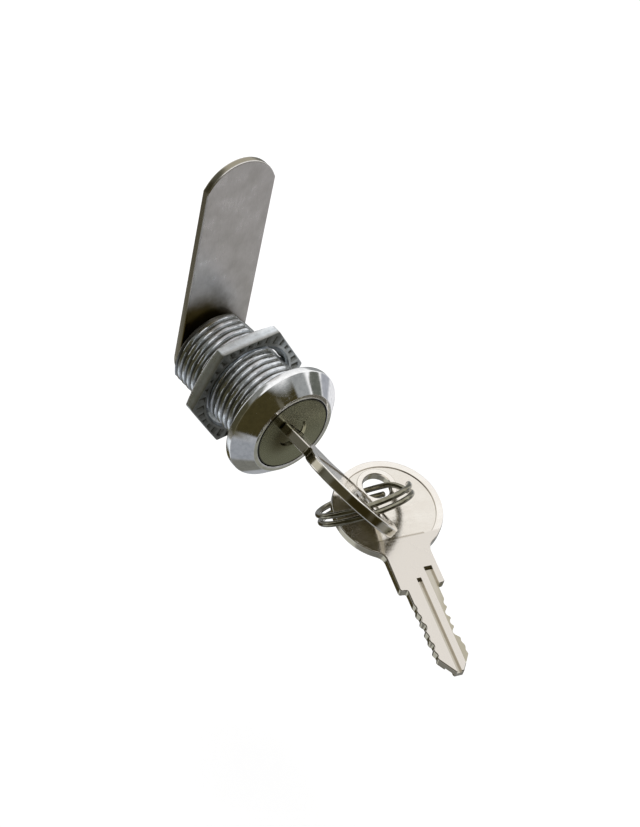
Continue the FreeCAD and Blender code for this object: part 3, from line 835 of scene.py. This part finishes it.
# A closed block to cut with, from loops of points.
def cutterFrom(loops):
    work = bmesh.new()
    rows = [[work.verts.new(point) for point in loop] for loop in loops]
    for low, high in zip(rows, rows[1:]):
        for i in range(len(low)):
            work.faces.new((low[i - 1], low[i], high[i], high[i - 1]))
    work.faces.new(rows[0])
    work.faces.new(rows[-1])
    bmesh.ops.recalc_face_normals(work, faces=work.faces)
    mesh = bpy.data.meshes.new("cutter")
    work.to_mesh(mesh)
    work.free()
    return mesh


# A loop on two axes, drawn out along the third.
def cuttingBlock(loop, low, high, axis=0):
    return cutterFrom([np.insert(np.array(loop, float), axis, level, 1) for level in (low, high)])


# A pin along the thickness, as rows of depth and radius.
def cuttingPin(rows, along, across):
    steps = 96
    angles = np.arange(steps) * fullTurn / steps
    return cutterFrom([np.stack([np.full(steps, depth), along + r * np.cos(angles),
                                 across + r * np.sin(angles)], 1) for depth, r in rows])


def carved(mesh, cutters):
    piece = addObject("blank", mesh)
    tools = [addObject("cutter", cutter) for cutter in cutters]
    for tool in tools:
        modifier = piece.modifiers.new("cut", "BOOLEAN")
        modifier.solver = "EXACT"
        modifier.object = tool
    result = finishedMesh(piece)
    for thing in tools + [piece]:
        bpy.data.objects.remove(thing)
    return result


# How near each vertex lies to the outline, as a rubbed mark that fades out over the rounded rim.
def markRim(mesh, outline, reach):
    points = readPoints(mesh)
    away = np.linalg.norm(points[:, None, 1:] - outline[None], axis=2).min(1)
    writeMark(mesh, "rub", np.clip(1.3 - away / reach, 0, 1))
    writeMark(mesh, "flatPlace", points * mm)


# Set a flat part into the lock: the way of its thickness, the way along, and where one of its points goes.
def placedFlat(name, mesh, finish, facts):
    flat = Vector(facts["flat"]).normalized()
    along = Vector(facts["along"])
    along = (along - flat * along.dot(flat)).normalized()
    mesh.transform(frameAt(facts["place"], flat, along, flat.cross(along))
                   @ Matrix.Translation(-Vector(facts["point"]) * mm) @ Matrix.Scale(mm, 4))
    smoothMesh(mesh, 35)
    piece = meshPiece(name, mesh, finish)
    weighNormals(piece)
    placePiece(piece, facts["body"], facts["node"])


# The cam: a straight strip with a round foot, a flat-bowed tip and a square hole for the plug's tail.
camFacts = {
    "thick": 1.6, "ease": 0.22, "half": 7.5, "long": 43.0, "tipR": 8.0, "tipInset": 0.25,
    "hole": 3.55, "holeCorner": 4.45,
    "placing": {"flat": (0, 1, 0), "along": (0, 0, 1), "point": (0, 0, 0), "place": (0, 22.9, 0),
                "body": "plug", "slot": "cam_steel", "node": "cam"},
}


def camOutline(facts):
    half, tipR, tipMiddle = facts["half"], facts["tipR"], facts["long"] - facts["tipR"]
    lean = math.asin((half - facts["tipInset"]) / tipR)
    # the straight sides end a little short of both arcs
    straight = np.linspace(0.4, tipMiddle + tipR * math.cos(lean) - 0.35, 60)
    foot = [(half * math.sin(a), half * math.cos(a)) for a in np.linspace(math.pi, fullTurn, 90)]
    right = [(z, half) for z in straight]
    tip = [(tipMiddle + tipR * math.cos(a), -tipR * math.sin(a)) for a in np.linspace(-lean, lean, 80)]
    left = [(z, -half) for z in straight[::-1]]
    return np.array((foot + right + tip + left)[::-1])


def buildCam(facts):
    outline = camOutline(facts)
    angles = np.linspace(0, fullTurn, 97)[:-1]
    reach = facts["hole"] / np.maximum(np.abs(np.cos(angles)), np.abs(np.sin(angles)))
    reach = np.minimum(reach, facts["holeCorner"])
    hole = np.stack([reach * np.cos(angles), reach * np.sin(angles)], 1)
    through = 2.0
    mesh = carved(roundedPlate(outline, facts), [cuttingBlock(hole, -through, through)])
    markRim(mesh, outline, facts["ease"])
    placedFlat("camPlate", mesh, "camSteel", facts["placing"])


buildCam(camFacts)
print("cam: pressed")

# Keys: one blank, rounded along its outline, with sunk panels, a hole and milled grooves.
keyFacts = {
    "thick": 1.9, "ease": 0.26, "bladeHalf": 3.1, "bladeL": 18.0, "tipL": 3.4, "tipHalf": 0.7,
    "shankHalf": 4.45, "shoulderR": 0.5, "bowR": 10.55, "bowY": -17.75, "neckR": 2.2,
    "holeR": 2.7, "holeY": -22.7, "holeZ": -0.3, "holeEase": 0.2,
    "cutFirst": 3.9, "cutStep": 2.0, "cutFlat": 0.35, "highCuts": (0.4, 0.9, 0.8, 1.1, 0.3, 0.2),
    "lowCuts": (0.2, 0.3, 0.5, 0.2, 0.4, 0.3), "panelDepth": 0.2, "panelR": 9.15, "panelEnd": -10.95,
    "islandR": 3.8, "grooveDepth": 0.65,
    # side of the key, run-out before the shoulder, and from where to where across
    "grooves": ((1, 3.9, 1.6, 3.2), (1, 1.9, -0.6, 0.3), (-1, 3.0, -2.0, -0.9)),
}
keyPlaces = {
    "keyInLock": {"flat": (0.707107, 0, 0.707107), "along": (0, 1, 0), "point": (0, 0, 0),
                  "place": (0, -4.6, 0), "body": "key", "slot": "key_nickel", "node": "key_in_lock"},
    "spareKey": {"flat": (-0.1215, -0.1616, 0.9794), "along": (-0.2462, -0.9509, -0.1874),
                 "point": (0, -22.7, -0.3), "place": (11.9668, -17.2614, -8.1756),
                 "body": "spare_key", "slot": "key_nickel", "node": "spare_key"},
}


# Half the blade's width along it: the least of the plain edge, the tip's slope and the cuts.
def bladeEdge(along, cuts, facts):
    half, slope = facts["bladeHalf"], (facts["bladeHalf"] - facts["tipHalf"]) / facts["tipL"]
    edge = np.minimum(half, facts["tipHalf"] + (facts["bladeL"] - along) * slope)
    for i, depth in enumerate(cuts):
        away = np.abs(along - facts["cutFirst"] - i * facts["cutStep"]) - facts["cutFlat"]
        edge = np.minimum(edge, half - depth + np.maximum(away, 0))
    return edge


# One side from the bow's top round to the shoulder, then both blade edges in fine steps.
def keyOutline(facts):
    half, neck, bow, bowY = facts["shankHalf"], facts["neckR"], facts["bowR"], facts["bowY"]
    shoulder, blade, step = facts["shoulderR"], facts["bladeHalf"], 0.12
    neckY = bowY + math.sqrt((bow + neck) ** 2 - (half + neck) ** 2)
    lean = math.atan2(half + neck, neckY - bowY)
    side = [(bowY + bow * math.cos(a), bow * math.sin(a)) for a in np.linspace(math.pi, lean, 110)]
    side += [(neckY - neck * math.sin(a), half + neck - neck * math.cos(a))
             for a in np.linspace(math.pi / 2 - lean, 0, 16)[1:]]
    side += [(y, half) for y in np.linspace(neckY, -shoulder, 12)[1:]]
    side += [(shoulder * (math.sin(a) - 1), half + shoulder * (math.cos(a) - 1))
             for a in np.radians((18, 36, 54, 72, 90))]
    # down the shoulder, with a small fillet where the blade begins
    side += [(0.0, half - 0.7), (0.08, blade + 0.16), (0.25, blade + 0.02)]
    start = 0.5
    along = np.arange(start, facts["bladeL"] - 0.05, step)
    lines = []
    for sign, cuts in ((1, facts["highCuts"]), (-1, facts["lowCuts"])):
        edge = bladeEdge(np.arange(start - 3 * step, facts["bladeL"] + 3 * step, step), cuts, facts)
        smooth = np.convolve(edge, np.ones(5) / 5, "same")
        lines.append([(y, z * sign) for y, z in side + [(y, smooth[i + 3]) for i, y in enumerate(along)]])
    high, low = lines[0], lines[1][::-1]
    return np.array((low[:-1] + high)[::-1])  # the bow's top is in only once


# The sunk panel is a disc cut off at the shank; the raised ring round the hole is left out of it.
def panelCutters(facts):
    half, reach, bowY = facts["thick"] / 2, facts["panelR"], facts["bowY"]
    lean = math.acos((facts["panelEnd"] - bowY) / reach)
    disc = [(bowY + reach * math.cos(a), reach * math.sin(a))
            for a in np.linspace(lean, fullTurn - lean, 120)]
    island = [(facts["holeY"] + facts["islandR"] * math.cos(a),
               facts["holeZ"] + facts["islandR"] * math.sin(a)) for a in np.linspace(0, fullTurn, 73)[:-1]]
    cutters = []
    for side in (-1, 1):
        low, high = sorted((side * (half - facts["panelDepth"]), side * (half + 1)))
        cutters.append(carved(cuttingBlock(disc, low, high), [cuttingBlock(island, low - 1, high + 1)]))
    return cutters


def buildKeyMesh(facts):
    outline = keyOutline(facts)
    half, depth = facts["thick"] / 2, facts["grooveDepth"]
    hole, ease = facts["holeR"], facts["holeEase"]
    flare = [(-half - 1, hole + ease + 1), (-half + ease * 0.4, hole + ease * 0.45), (-half + ease, hole)]
    flare += [(-x, r) for x, r in reversed(flare)]
    cutters = [cuttingPin(flare, facts["holeY"], facts["holeZ"])]
    for side, start, low, high in facts["grooves"]:
        floor, out, past = side * (half - depth), side * (half + 1), 30
        loop = [(floor, 0.5 - start), (side * half, -start), (out, -start), (out, past), (floor, past)]
        cutters.append(cuttingBlock(loop, low, high, 2))
    mesh = carved(roundedPlate(outline, facts), cutters + panelCutters(facts))
    markRim(mesh, outline, facts["ease"])
    return mesh


for name, placing in keyPlaces.items():
    placedFlat(name, buildKeyMesh(keyFacts), "keyNickel", placing)
print("keys: milled")

# The split ring: two flat turns of round wire with a short step between them.
ringFacts = {
    "middle": (5.299, -21.384, -5.573), "toHole": (-0.5374, -0.6249, 0.5663),
    "axis": (-0.0394, 0.6894, 0.7233), "seam": 103.0,
}
ringShape = {
    "Points": 760, "Coil radius": 8.75 * mm, "Wire radius": 0.55 * mm, "Pitch": 1.55 * mm,
    "Turn": math.radians(312), "Step": math.radians(40), "End size": 0.84,
}


def makeRingTree(sizes):
    tree, given, result = newShapeTree("splitRing", sizes)
    index, last = addNode(tree, "GeometryNodeInputIndex"), given("Points") - 1
    angle = index / last * (given("Turn") * 2 + given("Step")) - given("Turn")
    climb = spread(angle, 0.0, given("Step"), -0.5, 0.5, smooth=True)
    coil = given("Coil radius")
    point = joinVector(calc("COSINE", angle) * coil, calc("SINE", angle) * coil, climb * given("Pitch"))
    line = addNode(tree, "GeometryNodeMeshLine", {"Count": given("Points")})
    wound = addNode(tree, "GeometryNodeSetPosition", {"Geometry": line, "Position": point})
    # the first and last points are thinner, which eases the cut ends
    size = spread(smallest(index, last - index), 0.0, 1.0, given("End size"), 1.0)
    section = addNode(tree, "GeometryNodeCurvePrimitiveCircle",
                      {"Resolution": 40, "Radius": given("Wire radius")})
    tube = addNode(tree, "GeometryNodeCurveToMesh",
                   {"Curve": addNode(tree, "GeometryNodeMeshToCurve", {0: wound}),
                    "Profile Curve": section, "Scale": size, "Fill Caps": True})
    finishTree(tube, given, result)
    return tree


def buildRing(facts):
    mesh = runTree(bpy.data.meshes.new("seed"), makeRingTree(ringShape), ringShape, "ringNickel")
    right = Vector(facts["toHole"]).normalized()
    axis = Vector(facts["axis"]).normalized()
    seam = Matrix.Rotation(math.radians(facts["seam"]), 4, "Z")
    mesh.transform(frameAt(facts["middle"], right, axis.cross(right), axis) @ seam)
    smoothMesh(mesh, 35)
    placePiece(meshPiece("splitRing", mesh, "ringNickel"), "ring", "split_ring")


buildRing(ringFacts)
print("ring: wound")

# Inner parts keep their CAD shapes.
innerFinishes = {"stop_washer": "hardwareZinc"}
for i in range(1, 7):
    innerFinishes["wafer_%d" % i] = "waferBrass"
    innerFinishes["wafer_spring_%d" % i] = "springSteel"
for name, finish in innerFinishes.items():
    cadNodes[name].data.materials.clear()
    cadNodes[name].data.materials.append(materials[finish])
print("inner parts: painted")


# Stage: a pale floor, a white surround, one soft lamp, and a tent that only reflections see.
stageFacts = {"floorZ": -60.0, "floorR": 3000.0, "floorTone": 0.86, "surround": 0.55, "tentR": 700.0}
lampFacts = {"place": (180, 160, 420), "size": (420, 320), "power": 0.44}


def whiteBehind(tree):
    rays = outputsOf(tree, tree.nodes.new("ShaderNodeLightPath"))
    return largest(rays("Is Camera Ray"), rays("Is Glossy Ray"), rays("Is Transmission Ray"))


def stagePiece(name, mesh, material):
    mesh.materials.append(material)
    piece = addObject(name, mesh)
    return piece


def makeFloor(facts):
    material, tree = newMaterial("paleFloor")
    shader = tree.nodes["Principled BSDF"]
    feed(shader.inputs["Base Color"], (facts["floorTone"],) * 3)
    shader.inputs["Roughness"].default_value = 0.9
    glow = addNode(tree, "ShaderNodeEmission", {"Color": (1, 1, 1), "Strength": whiteBehind(tree) * 0.5})
    both = addNode(tree, "ShaderNodeAddShader", {0: Value(tree, shader.outputs[0]), 1: glow})
    feed(tree.nodes["Material Output"].inputs["Surface"], both)
    mesh = bpy.data.meshes.new("floor")
    reach, z = facts["floorR"] * mm, facts["floorZ"] * mm
    edge = [(reach * math.cos(a), reach * math.sin(a), z) for a in np.linspace(0, fullTurn, 65)[:-1]]
    mesh.from_pydata(edge, [], [list(range(len(edge)))])
    # the tent below stands in for the floor in reflections
    stagePiece("floor", mesh, material).visible_glossy = False


def makeSurround(facts):
    world = bpy.data.worlds.new("whiteSurround")
    scene.world = world
    world.use_nodes = True
    background = world.node_tree.nodes["Background"].inputs
    feed(background["Color"], (1, 1, 1))
    feed(background["Strength"], spread(whiteBehind(world.node_tree), 0, 1, facts["surround"], 1.0))


# Patches of the tent: azimuth in degrees from the front towards +X, height above the horizon,
# softness of the edge and tone. The tent is white elsewhere, and later patches lie over earlier ones.
tentPatches = {
    "floor": ((-180, 180), (-90, -18), 8, (0.36, 0.37, 0.39)),
    "leftFloor": ((-150, -100), (-72, -38), 5, (0.80, 0.84, 0.87)),
    "leftEdge": ((-166, -112), (-37, -20), 4, (0.20, 0.19, 0.16)),
    "rightMid": ((76, 92), (-22, 2), 5, (0.37, 0.38, 0.415)),
    "backRight": ((104, 146), (-34, 12), 9, (0.30, 0.31, 0.31)),
    "floorBright": ((88, 124), (-42, -17), 6, (0.80, 0.80, 0.82)),
    "frontFloor": ((-60, -20), (-72, -34), 8, (0.29, 0.305, 0.33)),
    # painted shadow of the lock on the floor below it, as reflections see it
    "lockShadowBelow": ((-180, 180), (-90, -72), 8, (0.17, 0.17, 0.15)),
    "leftHigh": ((-166, -104), (24, 52), 10, (0.20, 0.205, 0.19)),
    "leftFront": ((-108, -44), (-30, 54), 9, (0.10, 0.09, 0.055)),
    "leftDark": ((-146, -92), (-26, 28), 9, (0.060, 0.055, 0.030)),
    "frontHigh": ((-50, 56), (14, 40), 6, (0.30, 0.31, 0.31)),
    "frontRight": ((28, 60), (-22, 13), 5, (0.12, 0.11, 0.08)),
    "frontDark": ((-50, 32), (-22, 36), 5, (0.046, 0.038, 0.0145)),
    "frontStreak": ((-6, 2), (-22, 32), 3, (0.11, 0.10, 0.07)),
    "rightStrip": ((59, 75), (-10, 20), 3, (0.12, 0.127, 0.11)),
    "camFloor": ((26, 64), (-40, -22), 5, (0.42, 0.415, 0.42)),
    "plugFloor": ((26, 64), (-56, -38), 5, (0.24, 0.24, 0.20)),
    # painted shadow of the lock on the floor behind it, as the keys' edges reflect it
    "lockShadowBehind": ((-200, -158), (-62, -30), 8, (0.08, 0.07, 0.03)),
}


def makeTent(facts):
    material, tree = newMaterial("tent")
    x, y, z = splitVector(addNode(tree, "ShaderNodeVectorMath", {0: readPlace(tree)}, "Vector",
                                  operation="NORMALIZE"))
    turn = calc("DEGREES", calc("ARCTAN2", x, -y))
    rise = calc("DEGREES", calc("ARCSINE", z))
    colour = (1, 1, 1)
    for turns, rises, soft, tone in tentPatches.values():
        masks = []
        aside, above = wrapped(turn - sum(turns) / 2, 180.0), rise - sum(rises) / 2
        for away, (low, high) in ((aside, turns), (above, rises)):
            half = (high - low) / 2
            masks.append(spread(abs(away), half + soft / 2, half - soft / 2, smooth=True))
        colour = blendColour(masks[0] * masks[1], colour, tone)
    glow = addNode(tree, "ShaderNodeEmission", {"Color": colour})
    feed(tree.nodes["Material Output"].inputs["Surface"], glow)
    shell = bmesh.new()
    bmesh.ops.create_uvsphere(shell, u_segments=96, v_segments=48, radius=facts["tentR"] * mm)
    mesh = bpy.data.meshes.new("tent")
    shell.to_mesh(mesh)
    shell.free()
    tent = stagePiece("tent", mesh, material)
    tent.visible_camera = tent.visible_diffuse = tent.visible_shadow = tent.visible_transmission = False


def addLamp(facts):
    data = bpy.data.lights.new("overhead", "AREA")
    data.shape = "RECTANGLE"
    data.size, data.size_y = facts["size"][0] * mm, facts["size"][1] * mm
    data.energy = facts["power"]
    back = Vector(facts["place"]).normalized()
    side = Vector((0, 0, 1)).cross(back).normalized()
    lamp = addObject("overhead", data)
    lamp.matrix_world = frameAt(facts["place"], side, back.cross(side), back)
    lamp.visible_glossy = False  # metal mirrors the tent alone


makeFloor(stageFacts)
makeSurround(stageFacts)
makeTent(stageFacts)
addLamp(lampFacts)
scene.view_settings.view_transform = "Standard"
print("stage: lit")
